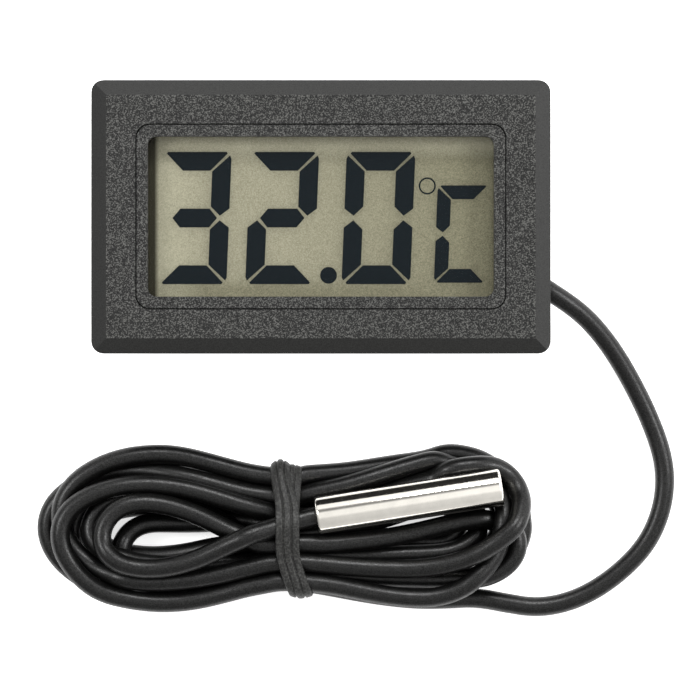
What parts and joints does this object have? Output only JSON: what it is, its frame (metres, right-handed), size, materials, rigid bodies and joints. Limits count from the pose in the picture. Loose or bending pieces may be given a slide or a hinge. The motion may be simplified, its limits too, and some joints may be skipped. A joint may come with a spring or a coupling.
{
  "type": "digital panel thermometer",
  "caption": "Snap-in digital panel thermometer with a bevelled bezel, a liquid-crystal display, a sliding battery door, and a remote probe on a long cord folded into a tied hank.",
  "frame": {"origin": "centre of the module's back face, which lies on the surface the part rests on", "axes": "+X to the reader's right along the bezel's long side, +Y to the top of the digits, +Z out of the display"},
  "size_m": [0.0682, 0.0567, 0.0152],
  "materials": {
    "case_plastic": "fine spark-eroded grain, smooth bevels",
    "frame_plastic": "fine spark-eroded grain",
    "cover_plastic": "fine grain",
    "polariser": "clear film with a satin face",
    "display_glass": "clear",
    "segment_ink": "dark liquid-crystal segments",
    "reflector": "khaki satin reflector with a fine speckle",
    "zebra_rubber": "layered silicone",
    "board": "green solder mask",
    "black_epoxy": "cast",
    "smd_ceramic": "fired ceramic",
    "solder": "bright tin",
    "screw_steel": "zinc plated",
    "contact_metal": "plated spring brass",
    "cell_steel": "nickel plated",
    "seal_nylon": "moulded nylon",
    "glue": "hot-melt glue",
    "wire_red": "PVC insulation",
    "wire_white": "PVC insulation",
    "cord_jacket": "semi-gloss soft PVC",
    "tie_band": "matt ribbed PVC band",
    "probe_metal": "bright drawn tube"
  },
  "bodies": {
    "module": {"front_case": "case_plastic", "display_frame": "frame_plastic", "lcd_front_polariser": "polariser", "lcd_front_glass": "display_glass", "lcd_segments": "segment_ink", "lcd_rear_glass": "display_glass", "lcd_reflector": "reflector", "zebra_strip_upper": "zebra_rubber", "zebra_strip_lower": "zebra_rubber", "circuit_board": "board", "chip_blob": "black_epoxy", "smd_bodies": "smd_ceramic", "smd_terminals": "solder", "board_screws": "screw_steel", "solder_joints": "solder", "contact_positive": "contact_metal", "contact_negative": "contact_metal", "cell_1_can": "cell_steel", "cell_1_seal": "seal_nylon", "cell_1_cap": "cell_steel", "cell_2_can": "cell_steel", "cell_2_seal": "seal_nylon", "cell_2_cap": "cell_steel", "back_cover": "cover_plastic", "lead_glue": "glue", "lead_wire_signal": "wire_red", "lead_wire_return": "wire_white", "sensor_lead": "cord_jacket", "lead_hank": "cord_jacket", "hank_tie": "tie_band", "probe_tail": "cord_jacket", "probe_tube": "probe_metal", "thermistor_bead": "black_epoxy", "thermistor_legs": "solder", "probe_potting": "black_epoxy"},
    "door": {"battery_door": "cover_plastic", "contact_bridge": "contact_metal"},
    "left_latch": {"latch_left": "case_plastic"},
    "right_latch": {"latch_right": "case_plastic"}
  },
  "joints": [
    {"name": "door_slide", "type": "slide", "parent": "module", "child": "door", "axis": [0, 1, 0], "range_m": [0, 0.02]},
    {"name": "left_latch_flex", "type": "hinge", "parent": "module", "child": "left_latch", "pos_m": [-0.0221, 0, 0.0022], "axis": [0, 1, 0], "range_deg": [0, 6], "stiffness_Nm_per_rad": 0.05},
    {"name": "right_latch_flex", "type": "hinge", "parent": "module", "child": "right_latch", "pos_m": [0.0221, 0, 0.0022], "axis": [0, -1, 0], "range_deg": [0, 6], "stiffness_Nm_per_rad": 0.05}
  ]
}
